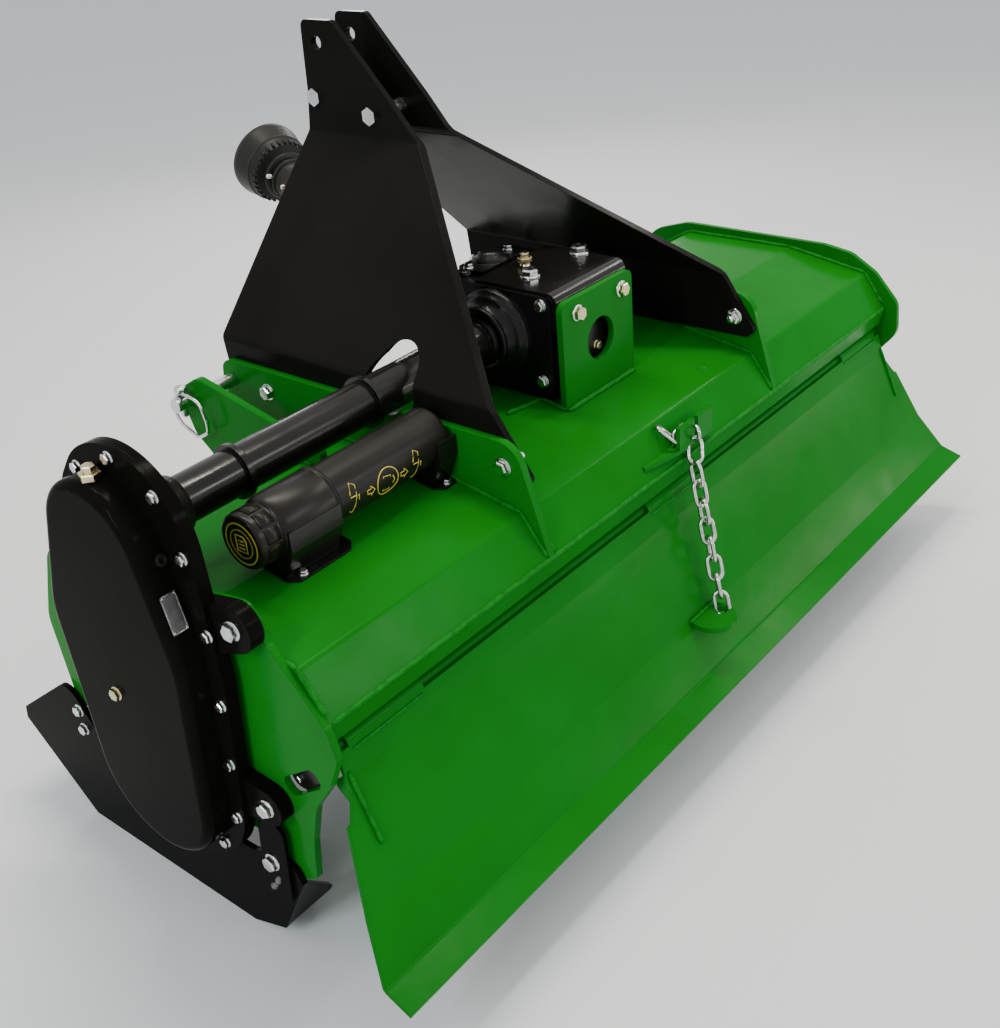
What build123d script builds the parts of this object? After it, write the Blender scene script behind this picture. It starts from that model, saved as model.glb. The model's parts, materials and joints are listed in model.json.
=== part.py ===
from build123d import *
import math
import os

# Rotary tiller for a small tractor's three-point linkage, with a side gear drive.
# Millimetres. +X is the operator's right, +Y forward to the tractor, +Z up.
# Working frame: X = 0 is the middle of the hood, Y = 0 the rotor's axis, Z = 0 the ground.
# Every piece is moved at the end, so that the origin lies under the middle of the whole machine.

# ---------------------------------------------------------------- driving dimensions
width = 1450.0              # over the two end plates
plate_t = 10.0              # end plates
deck_t = 5.0                # hood sheet
rib_t = 12.0                # fore-and-aft hitch ribs and ears
mast_t = 10.0               # mast plates
bend_in = 6.0               # inner radius of a cold bend

rotor_z = 255.0             # rotor axis above the ground
swing_r = 225.0             # over the tine tips
drive_y = -14.0             # drive tube axis
drive_z = 610.0

hinge_y = -270.0            # rear flap hinge
hinge_z = 376.0
hinge_rod_r = 8.0
knuckle_r = 14.0
running = 0.05              # radial clearance of a shaft in its bore

rib_x = 302.0               # middle of each hitch rib
ear_x = 386.0               # middle of each hitch ear
pin_y = 317.0               # lower hitch pins
pin_z = 557.0
pin_r = 11.0

mast_top_z = 1038.0
top_link_y = 312.0          # top link hole
top_link_z = mast_top_z - 33.0
top_link_r = 10.25
mast_x = 36.3               # middle of each mast plate at its top

gearbox_x = 28.0            # middle of the gearbox
right = (1, 0, 0)
half = width / 2
inner = half - plate_t

stand_off = 9.0             # side drive clear of the left end plate
body_flange_t = 11.0        # the side drive's two flanges
cover_flange_t = 7.0
cover_deep = 39.0
case_x = -half - stand_off                          # back of the side drive
case_joint_x = case_x - body_flange_t               # where its flanges meet
case_front_x = case_joint_x - cover_flange_t
cover_x = case_front_x - cover_deep                 # outer face of its cover


# ---------------------------------------------------------------- helpers
def slab(rows, x_low, x_high):
    """Plate across X. rows: (y, z, corner radius)."""
    points = [(y, z) for y, z, r in rows]
    radii = [r for y, z, r in rows]
    edge = FilletPolyline(*points, radius=radii, close=True)
    face = Plane.YZ.offset(x_low) * make_face(edge)
    return extrude(face, x_high - x_low, dir=right)


def offset_points(points, distance):
    """Points of an open line moved to its right-hand side, with mitred corners."""
    moved = []
    last = len(points) - 1
    for i, (y, z) in enumerate(points):
        before = points[max(i - 1, 0)]
        after = points[min(i + 1, last)]
        first = Vector(y - before[0], z - before[1]) if i > 0 else None
        second = Vector(after[0] - y, after[1] - z) if i < last else None
        first = (first or second).normalized()
        second = (second or first).normalized()
        normal = (Vector(first.Y, -first.X) + Vector(second.Y, -second.X)).normalized()
        reach = distance / normal.dot(Vector(second.Y, -second.X))
        moved.append((y + normal.X * reach, z + normal.Y * reach))
    return moved


def folded(points, thickness, x_low, x_high, radius=bend_in):
    """Folded sheet across X. points: (y, z) along its outer face; the metal is to their right."""
    inside = offset_points(points, thickness)
    rows = []
    for i, (y, z) in enumerate(points):
        end = i in (0, len(points) - 1)
        rows.append((y, z, 0 if end else turn_radius(points, i, radius, thickness, True)))
    for i in reversed(range(len(points))):
        end = i in (0, len(points) - 1)
        y, z = inside[i]
        rows.append((y, z, 0 if end else turn_radius(points, i, radius, thickness, False)))
    return slab(rows, x_low, x_high)


def turn_radius(points, i, radius, thickness, outer_face):
    """Bend radius on one face: the inner radius, or that plus the sheet."""
    (y0, z0), (y1, z1), (y2, z2) = points[i - 1], points[i], points[i + 1]
    right_turn = (y1 - y0) * (z2 - z1) - (z1 - z0) * (y2 - y1) < 0
    return radius + thickness if right_turn == outer_face else radius


def rod(x_low, x_high, y, z, r):
    """Round bar along X."""
    return Pos((x_low + x_high) / 2, y, z) * Rot(0, 90, 0) * Cylinder(r, x_high - x_low)


def lobes(rows, x_low, x_high):
    """Plate across X with the outline drawn taut round circles. rows: (y, z, radius)."""
    rings = [(Pos(y, z) * Circle(r)).edges() for y, z, r in rows]
    face = Plane.YZ.offset(x_low) * make_hull([e for ring in rings for e in ring])
    return extrude(face, x_high - x_low, dir=right)


def mirrored(shape):
    return mirror(shape, about=Plane.YZ)


# ---------------------------------------------------------------- hood
# Outer face of the hood, from the hinge rail forward. (y, z)
rail_top = (-290.0, 425.0)
deck_line = [rail_top, (-247.0, 487.0), (-91.0, 514.0), (127.0, 514.0), (222.0, 462.0), (262.0, 330.0)]


def deck():
    return folded(deck_line, deck_t, -inner, inner)


def under_deck(x_low=-half, x_high=half):
    """Everything below the hood's outer face, for fitting what stands on it."""
    low = -50.0
    rows = [(y, z, 0) for y, z in deck_line] + [(deck_line[-1][0], low, 0), (rail_top[0], low, 0)]
    radii = [0] + [bend_in + deck_t] * (len(deck_line) - 2) + [0, 0, 0]
    return slab([(y, z, r) for (y, z, _), r in zip(rows, radii)], x_low, x_high)


rail_t = 6.0
rail_bottom = 395.0


def hinge_rail():
    """Flat bar along the hood's rear edge, over the flap's knuckles."""
    y, z = rail_top
    foot = y + 8
    rows = [(y, z, 0), (foot, rail_bottom, 0), (foot + rail_t, rail_bottom, 0), (y + rail_t + 3, z - 7, 0)]
    return slab(rows, -inner, inner) - deck()


# Outlines of the two end plates. (y, z, corner radius)
right_plate_rows = [
    (-160, 529, 40), (-216, 520, 40), (-266, 490, 40), (-312, 438, 30), (-316, 380, 40), (-281, 338, 40),
    (-247, 289, 40), (-229, 226, 40), (-219, 156, 8), (-153, 119, 8), (-128, 186, 20), (150, 186, 60),
    (266, 236, 30), (290, 372, 60), (214, 508, 50), (136, 531, 60)]
left_plate_rows = [
    (-130, 552, 10), (-188, 560, 16), (-205, 544, 12), (-216, 514, 20), (-293, 426, 26), (-303, 388, 26),
    (-281, 338, 40), (-247, 289, 40), (-229, 226, 40), (-219, 156, 8), (-153, 119, 8), (-128, 186, 20),
    (150, 186, 60), (266, 236, 30), (276, 372, 60), (222, 500, 50), (136, 531, 60)]
slot_y, slot_z, slot_l, slot_w, slot_turn = -229.0, 320.0, 76.0, 27.0, 144.0
shaft_hole_r = 62.0


def end_plate(rows):
    """End plate at the right-hand end, with the shaft hole and the adjusting slot."""
    plate = slab(rows, inner, half)
    plate -= rod(inner - 1, half + 1, 0, rotor_z, shaft_hole_r)
    slot = Pos(slot_y, slot_z) * Rot(0, 0, slot_turn) * RectangleRounded(slot_l, slot_w, 11)
    return plate - extrude(Plane.YZ.offset(inner - 1) * slot, plate_t + 2, dir=right)


# ---------------------------------------------------------------- hitch
rib_top = 585.0
rib_rows = [
    (-243, rib_top, 40), (rail_top[0], rail_top[1], 0), (-200, 400, 0), (200, 400, 0), (300, 470, 20),
    (344, 540, 26), (336, rib_top + 2, 20)]
ear_rows = [(40, 480, 0), (40, 540, 10), (294, 596, 22), (346, 566, 24), (322, 498, 30), (240, 430, 0)]
mast_bolt_r = 8.0
mast_bolts = [(-222.0, 549.0), (237.0, 553.0)]      # y, z


def rib():
    """Right-hand rib: a plate on edge that follows the hood and carries pin and mast."""
    low = rib_x - rib_t / 2
    plate = slab(rib_rows, low, low + rib_t) - under_deck()
    plate -= rod(low - 1, low + rib_t + 1, drive_y, drive_z, tube_r + 4)
    plate -= rod(low - 1, low + rib_t + 1, pin_y, pin_z, pin_r)
    for y, z in mast_bolts:
        plate -= rod(low - 1, low + rib_t + 1, y, z, mast_bolt_r)
    return plate


def ear():
    low = ear_x - rib_t / 2
    plate = slab(ear_rows, low, low + rib_t) - under_deck()
    return plate - rod(low - 1, low + rib_t + 1, pin_y, pin_z, pin_r)


pin_head_r = 17.0
pin_head_t = 8.0
pin_over = 30.0


def lower_pin():
    """Lower hitch pin: a head inside the mast plate and a drilled end outside the ear."""
    inside = rib_x - rib_t / 2 - mast_t
    outside = ear_x + rib_t / 2 + pin_over
    pin = rod(inside - pin_head_t, inside, pin_y, pin_z, pin_head_r)
    pin += rod(inside - pin_head_t, outside, pin_y, pin_z, pin_r)
    hole = Pos(outside - pin_over / 2, pin_y, pin_z) * Cylinder(5.5, 4 * pin_r)
    return pin - hole


# ---------------------------------------------------------------- mast
# Each mast plate is folded twice: upright at its foot, leaning in, and upright again at its top.
upper_bend_z = mast_top_z - 165.0
lower_bend_z = 620.0
mast_foot_z = 517.0
mast_reach = 500.0                                  # over half the mast's length, for its folded sheet
# Silhouette of a mast plate seen from the side. (y, z, corner radius)
mast_rows = [
    (276, mast_top_z, 12), (341, mast_top_z, 12), (347, mast_top_z - 108, 20), (356, upper_bend_z, 20),
    (340, lower_bend_z, 30), (330, mast_foot_z, 6), (-244, mast_foot_z, 10), (-258, mast_foot_z + 13, 8),
    (-200, lower_bend_z - 6, 30), (133, upper_bend_z + 7, 20), (171, mast_top_z - 113, 20)]
spacer_places = [(329.0, mast_top_z - 113), (213.0, mast_top_z - 133)]      # y, z
spacer_bolt_r = 8.0
tube_cut_r = 46.0


def mast_plate():
    """Right-hand mast plate."""
    foot_x = rib_x - rib_t / 2 - mast_t
    top_x = mast_x - mast_t / 2
    steps = [
        (foot_x + mast_t, mast_foot_z - 5, 0), (foot_x + mast_t, lower_bend_z, bend_in + mast_t),
        (top_x + mast_t, upper_bend_z, bend_in), (top_x + mast_t, mast_top_z + 5, 0)]
    outer = [(x, z) for x, z, r in steps]
    inside = offset_points(outer, -mast_t)
    radii = [0, bend_in + mast_t, bend_in, 0, 0, bend_in + mast_t, bend_in, 0]
    line = FilletPolyline(*(outer + inside[::-1]), radius=radii, close=True)
    sheet = extrude(Plane.XZ * make_face(line), mast_reach, both=True)
    plate = sheet & slab(mast_rows, 0, half)
    plate -= rod(0, half, top_link_y, top_link_z, top_link_r)
    plate -= rod(foot_x - 1, half, pin_y, pin_z, pin_r)
    for y, z in spacer_places:
        plate -= rod(0, 200, y, z, spacer_bolt_r)
    for y, z in mast_bolts:
        plate -= rod(foot_x - 1, half, y, z, mast_bolt_r)
    return plate


def mast_plate_left():
    cut = rod(-half, 0, drive_y, drive_z, tube_cut_r) + rod(-half, 0, drive_y - 4, drive_z + 18, tube_cut_r - 8)
    return mirrored(mast_plate()) - cut


spacer_tube_r = 13.0


def mast_spacers():
    """Two bolts through tubes that hold the mast plates apart."""
    clear = mast_x - mast_t / 2
    over = mast_x + mast_t / 2
    head_t, nut_t, head_r = 8.0, 14.0, 14.0
    solids = []
    for y, z in spacer_places:
        bolt = rod(-over - head_t, over + nut_t, y, z, spacer_bolt_r)
        bolt += rod(-clear, clear, y, z, spacer_tube_r)
        for x, thick in ((-over - head_t / 2, head_t), (over + nut_t / 2, nut_t)):
            bolt += Pos(x, y, z) * Rot(0, 90, 0) * extrude(RegularPolygon(head_r, 6), thick / 2, both=True)
        solids.append(bolt)
    return Compound(solids)


# ---------------------------------------------------------------- gearbox
box_w, box_rear, box_front = 166.0, -121.0, 100.0
box_low, box_high = 514.0, 676.0
box_boss_r = 66.0
support_t = 10.0
support_w, support_top, support_foot = 178.0, 672.0, 440.0
support_hole_z, support_hole_r = 590.0, 33.0
bracket_t = 9.0
bracket_top = box_high + bracket_t
support_y = box_rear - bracket_t - support_t        # rear face of the support plate
shaft_r = 17.4
cross_y = 206.0                                     # centre of the driveline's rear cross
cross_z = 603.0


def gearbox():
    """Casting, as one heavy block with its left boss, front boss and feet."""
    x_low = gearbox_x - box_w / 2
    x_high = gearbox_x + box_w / 2
    body = Pos(gearbox_x, (box_rear + box_front) / 2, (box_low + 16 + box_high) / 2) * Box(
        box_w, box_front - box_rear, box_high - box_low - 16)
    body = fillet(body.edges().filter_by(Axis.X), 16)
    for x in (x_low + 22, x_high - 22):
        body += Pos(x, (box_rear + box_front) / 2, box_low + 12) * Box(44, box_front - box_rear - 20, 24)
    body += rod(x_low - 12, x_low + 1, drive_y, drive_z, box_boss_r)
    body += rod(x_low - 26, x_low, drive_y, drive_z, 46)
    body += rod(x_high - 1, x_high + 10, drive_y, drive_z, 56)
    nose = Pos(gearbox_x, box_front + 18, cross_z) * Rot(90, 0, 0)
    body += nose * Cylinder(46, 38)
    return body - under_deck()


def gearbox_bracket():
    """Black strap folded over the casting's top and down its rear."""
    x_low = gearbox_x - support_w / 2 + 2
    x_high = gearbox_x + support_w / 2 - 2
    line = [(box_rear - bracket_t, box_high - 50), (box_rear - bracket_t, bracket_top), (20, bracket_top)]
    return folded(line, bracket_t, x_low, x_high)


def gearbox_support():
    """Green plate that stands on the hood behind the casting."""
    y_mid = support_y + support_t / 2
    face = Plane.XZ.offset(-support_y) * Pos(gearbox_x, (support_foot + support_top) / 2) * RectangleRounded(
        support_w, support_top - support_foot, 14)
    plate = extrude(face, support_t, dir=(0, 1, 0)) - under_deck()
    hole = Pos(gearbox_x + 4, y_mid, support_hole_z) * Rot(90, 0, 0) * Cylinder(support_hole_r, support_t * 2)
    return plate - hole


fork_w, fork_gap, fork_deep, cross_r = 62.0, 38.0, 28.0, 9.0
throat = 36.0                                       # from the cross's axis to a fork's root


def fork(reach, hub_r):
    """Yoke with its hub behind and its two cheeks along local X. Local +Z points at the cross."""
    hub = Pos(0, 0, -(reach + throat) / 2) * Cylinder(hub_r, reach - throat)
    base = Pos(0, 0, -throat - 6) * Box(fork_w, fork_deep, 12)
    cheek_t = (fork_w - fork_gap) / 2
    cheek = Pos(0, 0, -throat / 2) * Box(cheek_t, fork_deep, throat) + Rot(0, 90, 0) * Cylinder(fork_deep / 2, cheek_t)
    side = (fork_w - cheek_t) / 2
    solid = hub + base + Pos(side, 0, 0) * cheek + Pos(-side, 0, 0) * cheek
    return solid - Rot(0, 90, 0) * Cylinder(cross_r, fork_w * 2)


def input_shaft():
    """Stub shaft of the gearbox with the fork that holds the rear cross."""
    start = box_front + 37
    reach = 55.0
    stub_len = cross_y - reach - start
    stub = Pos(gearbox_x, start + stub_len / 2, cross_z) * Rot(90, 0, 0) * Cylinder(shaft_r, stub_len)
    yoke = Pos(gearbox_x, cross_y, cross_z) * Rot(-90, 0, 0) * fork(reach, 26.0)
    return stub + yoke


# ---------------------------------------------------------------- side drive
tube_r = 31.0
collar_places = [case_x + 159, -rib_x - 43]
# Circles that the side drive's cover and its flanges are drawn round. (y, z, radius)
cover_rows = [(drive_y, drive_z - 6, 90.0), (-6.0, 472.0, 126.0), (0.0, rotor_z, 110.0)]
flange_rows = [
    (drive_y - 20, drive_z + 6, 114.0), (drive_y, drive_z - 4, 105.0), (-8.0, 455.0, 148.0), (0.0, rotor_z, 134.0)]
tube_flange_r, tube_flange_t = 64.0, 12.0


def drive_tube():
    """Housing of the cross shaft, from the side drive to the casting, with two collars."""
    tube = rod(case_x, gearbox_x - box_w / 2 - 26, drive_y, drive_z, tube_r)
    for x in collar_places:
        tube += rod(x - 4, x + 4, drive_y, drive_z, tube_r + 6)
    tube += rod(case_x, case_x + tube_flange_t, drive_y, drive_z, tube_flange_r)
    cone = Pos(case_x + 30, drive_y, drive_z) * Rot(0, 90, 0) * Cone(56, tube_r + 4, 60)
    return tube + cone


def case_body():
    """Flanged back of the side drive, with the rotor's left bearing housing."""
    body = lobes(flange_rows, case_joint_x, case_x)
    body += rod(case_x - 1, -inner + 12, 0, rotor_z, shaft_hole_r - 4)
    return body - rod(case_x - 1, -inner + 20, 0, rotor_z, stub_r + running)


def case_cover():
    """Domed cover with its own flange."""
    cover = lobes(cover_rows, cover_x, case_front_x)
    cover = fillet(cover.faces().sort_by(Axis.X)[0].edges(), 12)
    return cover + lobes(flange_rows, case_front_x, case_joint_x)


# Ears of the side drive: a bolt and the end's radius, then a place behind the flange. (y, z, r, root y, root z)
case_lug_places = [
    (-188.0, 537.0, 30.0, -60.0, 500.0), (-176.0, 268.0, 26.0, -70.0, 262.0),
    (160.0, 265.0, 26.0, 70.0, 262.0), (150.0, 500.0, 26.0, 60.0, 490.0)]
lug_root_r = 40.0


def case_lugs():
    """Ears between the left end plate and the side drive, one for each bolt."""
    beside = lobes(flange_rows, case_joint_x - 1, case_x)
    solids = []
    for y, z, end_r, root_y, root_z in case_lug_places:
        solids.append(lobes([(y, z, end_r), (root_y, root_z, lug_root_r)], case_joint_x, -half) - beside)
    return Compound(solids) - rod(case_x, -half, 0, rotor_z, shaft_hole_r)


def bearing_hub():
    """Right-hand rotor bearing, bolted to the end plate."""
    hub = rod(half, half + 14, 0, rotor_z, 82)
    hub += rod(inner + 1, half + 38, 0, rotor_z, 48)
    hub = hub - rod(inner, half + 30, 0, rotor_z, stub_r + running)
    return hub


# ---------------------------------------------------------------- skids
skid_t = 8.0
strap_t = 5.0
skid_w = 82.0
# Underside of a skid from its rear tail forward. (y, z)
skid_line = [(-199, 140), (-140, 26), (-72, 0), (296, 0), (430, 128)]
# Upper edge of a skid's side plate. (y, z, corner radius)
skid_top = [(424, 152, 8), (268, 266, 30), (190, 150, 40), (-110, 150, 40), (-150, 176, 10), (-190, 160, 10)]


def skid():
    """Right-hand skid: a side plate outside the end plate, and a folded runner under it."""
    side_low = half + 1
    outer = side_low + skid_t
    side = slab([(y, z, 0) for y, z in skid_line] + skid_top, side_low, outer)
    runner = folded(skid_line[::-1], skid_t, outer - skid_w, outer, 4)
    corner = Polyline((outer, 150), (outer, 300), (outer - 120, 300), (outer - skid_w, 40), close=True)
    cut = extrude(Plane.XZ * make_face(corner), 300, dir=(0, -1, 0))
    return side + (runner - cut)


def skid_bracket():
    """Strap outside the skid's tail, up to the end plate's leg."""
    low = half + 1 + skid_t
    return lobes([(-162, 212, 24), (-152, 115, 26)], low, low + strap_t)


# ---------------------------------------------------------------- rotor
stub_r = 25.0
rotor_r = 40.0
disc_r = 82.0
disc_t = 10.0
tine_w = 56.0
tine_t = 8.0
tine_reach = 62.0
rotor_end = inner - 18.0
stations = 6
tines_per_side = 3


def rotor_tube():
    tube = rod(-rotor_end, rotor_end, 0, rotor_z, rotor_r)
    tube += rod(case_x, -rotor_end, 0, rotor_z, stub_r)
    tube += rod(rotor_end, half + 28, 0, rotor_z, stub_r)
    return tube


def station_places():
    first = rotor_end - 52
    return [-first + i * 2 * first / (stations - 1) for i in range(stations)]


def rotor_discs():
    solids = []
    for x in station_places():
        disc = rod(x - disc_t / 2, x + disc_t / 2, 0, rotor_z, disc_r)
        solids.append(disc - rod(x - disc_t, x + disc_t, 0, rotor_z, rotor_r))
    return Compound(solids)


def tine(side):
    """Blade bolted to a disc's face, its tip turned along X. Radius runs along +Z."""
    root = 46.0
    x_in = side * disc_t / 2
    tip = x_in + side * tine_reach
    shank_top = swing_r - 6
    line = [(x_in, root), (x_in, shank_top), (tip, shank_top - 4)]
    other = [(tip, shank_top - 4 - tine_t), (x_in + side * tine_t, shank_top - tine_t), (x_in + side * tine_t, root)]
    edge = FilletPolyline(*(line + other), radius=[0, 24, 0, 0, 16, 0], close=True)
    blade = extrude(Plane.XZ * make_face(edge), tine_w / 2, both=True)
    return blade


def tines(side):
    """All tines whose tips turn to one side (-1 left, +1 right), stepped round the shaft."""
    solids = []
    for n, x in enumerate(station_places()):
        if (n == 0 and side < 0) or (n == stations - 1 and side > 0):
            continue
        for k in range(tines_per_side):
            turn = 360.0 * k / tines_per_side + 26 * n + (60 if side > 0 else 0)
            place = Pos(x, 0, rotor_z) * Rot(turn, 0, 0)
            solids.append(place * tine(side))
    return Compound(solids)


# ---------------------------------------------------------------- rear flap
flap_t = 5.0
# Outer face of the flap from under the knuckles down. (y, z)
flap_line = [(hinge_y - knuckle_r, hinge_z + 2), (-293, 344), (-353, 203), (-395, 136), (-434, 123)]
# How far the flap's side edges stand out past the end plates, at heights. (z, overhang)
flap_edge = [
    (395, -20), (352, -16), (330, -16), (315, -8), (300, 1), (296, 9), (203, 37), (136, 63), (100, 67)]
knuckles = [(-half + 35, -half + 165), (-65, 65), (half - 165, half - 35)]  # x low, x high
lip_t = 4.0
# Folded lip at each side of the flap, on the end plate's inner side. (y, z, corner radius)
lip_rows = [(-293, 352, 0), (-262, 325, 12), (-330, 262, 0)]


def flap():
    """Folded flap with three knuckles on the hinge rod."""
    sheet = folded(flap_line[::-1], flap_t, -width, width)
    points = [(half + w, z) for z, w in flap_edge] + [(-half - w, z) for z, w in reversed(flap_edge)]
    outline = extrude(Plane.XZ * make_face(Polyline(*points, close=True)), width, dir=(0, -1, 0))
    panel = sheet & outline
    for side in (-1, 1):
        far = side * (half + flap_edge[0][1])
        panel += slab(lip_rows, min(far, far - side * lip_t), max(far, far - side * lip_t))
    for low, high in knuckles:
        panel += rod(low, high, hinge_y, hinge_z, knuckle_r)
    return panel - rod(-half, half, hinge_y, hinge_z, hinge_rod_r + running)


def hinge_rod():
    return rod(-inner, inner, hinge_y, hinge_z, hinge_rod_r)


lug_x = -31.0
lug_r, lug_t, lug_hole_r, lug_web = 36.0, 8.0, 10.0, 8.0
lug_y, lug_z = flap_line[2][0] - 19, flap_line[2][1]    # middle of its round end


def flap_lug():
    """Level half-round eye on the flap's upper fold, for the chain."""
    lug = Pos(lug_x, lug_y, lug_z) * Cylinder(lug_r, lug_t)
    lug -= Pos(lug_x + lug_r - lug_web - lug_hole_r, lug_y - 5, lug_z) * Cylinder(lug_hole_r, lug_t * 2)
    top, fold, low, edge = flap_line[1:]
    inside = [(top[0], top[1], 0), (*fold, bend_in), (*low, 0), (low[0], 0, 0), (0, 0, 0), (0, top[1], 0)]
    return lug - slab(inside, lug_x - 2 * lug_r, lug_x + 2 * lug_r)


# ---------------------------------------------------------------- chain bracket and chain
prongs_x, prong_w, prong_gap = 54.5, 42.0, 9.0      # middle, each prong's width, slot between
shelf_z, shelf_t = rail_top[1] + 17, 7.0            # underside of the shelf
prong_top = shelf_z + 42
prong_y = rail_top[0] - 2                           # rear face of both prongs
shelf_wing = 72.0                                   # how far the shelf runs out to the left


def chain_bracket():
    """Shelf on the hood's rear slope, its edge bent up as two prongs; a chain link drops between them."""
    far = prong_gap / 2 + prong_w
    outline = [
        (prongs_x + far, prong_y), (prongs_x - far, prong_y), (prongs_x - far - shelf_wing, prong_y + 13),
        (prongs_x - far - shelf_wing, prong_y + 60), (prongs_x + far, prong_y + 60)]
    shelf = extrude(Plane.XY.offset(shelf_z) * make_face(Polyline(*outline, close=True)), shelf_t, dir=(0, 0, 1))
    upright = [(prong_y, shelf_z, 0), (prong_y, prong_top, 0), (prong_y + shelf_t, prong_top, 0),
               (prong_y + shelf_t, shelf_z, 0)]
    shelf += slab(upright, prongs_x - far, prongs_x + far)
    cut = Pos(prongs_x, prong_y, shelf_z) * Box(prong_gap, 40, 4 * (prong_top - shelf_z))
    return shelf - cut - under_deck()


wire_r = 3.25
link_long, link_wide = 43.6, 27.0                   # outside a chain link
pitch = link_long - 4 * wire_r
held_y = prong_y - 1.0                              # middle of the link in the slot
held_z = shelf_z + 3.5 + link_wide / 2
chain_start = Vector(prongs_x + 0.4, held_y - 14.0, held_z - 3.3)     # where the held link carries the next one
chain_high = Vector(prongs_x - 19.3, held_y - 24.4, held_z - 18.6)    # where that one carries the hanging chain


def link():
    """One chain link in the XY plane, long along X."""
    path = SlotOverall(link_long - 2 * wire_r, link_wide - 2 * wire_r).wire()
    start = Plane(path @ 0, z_dir=path % 0)
    return sweep(start * Circle(wire_r), path)


def chain():
    """Links from the flap's eye up to the bracket, each turned a quarter and a bit from the last."""
    low = Vector(lug_x + lug_r - lug_web / 2 - 1, lug_y - 5, lug_z - lug_t / 2 - 4)
    line = chain_high - low
    count = math.ceil(line.length / pitch)
    step = line.normalized() * (line.length / count)
    across = step.cross(Vector(1, 0, 0))
    turn = 90 + 90 * (count % 2) / (count - 1)
    solids = []
    for i in range(count):
        place = Plane(origin=low + step * (i + 0.5), x_dir=step, z_dir=across)
        solids.append(place * Rot(turn * i, 0, 0) * link())
    return Compound(solids)


def chain_tail():
    """The link held in the slot, the one it carries outside, and the one left over on the hood."""
    held = Plane(origin=(prongs_x, held_y, held_z), x_dir=(0, 1, 0), z_dir=(1, 0, 0)) * link()
    lean = chain_high - chain_start
    upright = Vector(-0.47, 1.13, -1.28).cross(lean).cross(lean)
    below = Plane(origin=(chain_start + chain_high) * 0.5, x_dir=lean, z_dir=upright) * link()
    over = Plane(origin=(prongs_x - 11, held_y + 11.5, held_z + 10), x_dir=(-1, 0, 0.05), z_dir=(0, 1, 0)) * link()
    return Compound([held, below, over])


# ---------------------------------------------------------------- canister
can_y, can_z = -101.0, 572.0
can_r, cap_r = 39.0, 37.0
can_left, can_right = -half + 122, -rib_x - 12
cap_left = can_left - 47
feet = [(can_left - 8, can_left + 78), (can_right - 31, can_right + 5)]     # x low, x high


def canister():
    """Tube for the handbook, closed at its right end."""
    tube = rod(can_left, can_right, can_y, can_z, can_r)
    return fillet(tube.faces().sort_by(Axis.X)[-1].edges(), 10)


def canister_cap():
    """Screw cap: a barrel with a rounded rim."""
    cap = rod(cap_left, can_left, can_y, can_z, cap_r)
    return fillet(cap.faces().sort_by(Axis.X)[0].edges(), 6)


def canister_feet():
    """Two saddles that carry the tube and wrap its rear side."""
    solids = []
    for low, high in feet:
        rows = [
            (can_y - 26, can_z - 112, 0), (can_y - 26, can_z - 60, 0), (can_y - 43, can_z - 22, 0),
            (can_y - 43, can_z + 6, 0), (can_y, can_z + 6, 0), (can_y + 20, can_z - 12, 0),
            (can_y + 20, can_z - 112, 0)]
        foot = slab(rows, low, high) - under_deck() - rod(low - 1, high + 1, can_y, can_z, can_r)
        solids.append(foot)
    return Compound(solids)


# ---------------------------------------------------------------- driveline
# Hanging in its hook it rises, and swings towards the right. (degrees)
rise, swing = 15.1, 13.8
guard_rear_r, guard_front_r, guard_wall = 34.0, 29.0, 3.0
# Distances along the driveline from the rear cross.
collar_s, ring_s, rim_s = 468.0, 500.0, 542.0
front_cross_s = 520.0
sleeve_end, profile_start = 400.0, 200.0
guard_rear_end, guard_front_start = 385.0, 240.0
pto_bore_r = 17.5
profile_r, sleeve_r = 16.0, 20.0
rear_hub, front_hub = (104.0, 24.0), (76.0, 22.0)   # a fork's reach and its hub's radius
cross_place = Pos(gearbox_x, cross_y, cross_z)


def along(s):
    """Frame at distance s from the rear cross, its +Z along the driveline, its Y along the cross's upright arm."""
    up, side = math.radians(rise), math.radians(swing)
    axis = (math.sin(side), math.cos(side) * math.cos(up), math.cos(side) * math.sin(up))
    level = (math.cos(side), -math.sin(side) * math.cos(up), -math.sin(side) * math.sin(up))
    return Plane(origin=(gearbox_x, cross_y, cross_z), x_dir=level, z_dir=axis).offset(s)


def turned(rows):
    """Solid turned about the driveline. rows: (radius, s)."""
    face = make_face(Polyline(*rows, close=True))
    solid = revolve(Plane.XZ * face, Axis.Z)
    return along(0) * solid


def rear_cross():
    """Rear cross and the driveline's own fork and sleeve."""
    arm = fork_w / 2
    cross = cross_place * (Rot(0, 90, 0) * Cylinder(cross_r - running, 2 * arm))
    cross += along(0) * (Rot(90, 0, 0) * Cylinder(cross_r - running, 2 * arm))
    yoke = along(0) * Rot(0, 180, 0) * Rot(0, 0, 90) * fork(*rear_hub)
    start = rear_hub[0] - 4
    sleeve = along((start + sleeve_end) / 2) * (
        Cylinder(sleeve_r, sleeve_end - start) - Cylinder(profile_r + 0.3, sleeve_end - start))
    return cross + yoke + sleeve


def guard_rear():
    """Cone and outer guard tube of the implement half."""
    r, t = guard_rear_r, guard_wall
    reach, hub_r = rear_hub
    ring = reach - 20
    return turned([(62, 24), (66, 24), (48, ring), (r + t, ring + 12), (r + t, guard_rear_end), (r, guard_rear_end),
                   (r, ring + 12), (hub_r, ring + 12), (hub_r, ring - 2), (44, ring - 2)])


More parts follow.
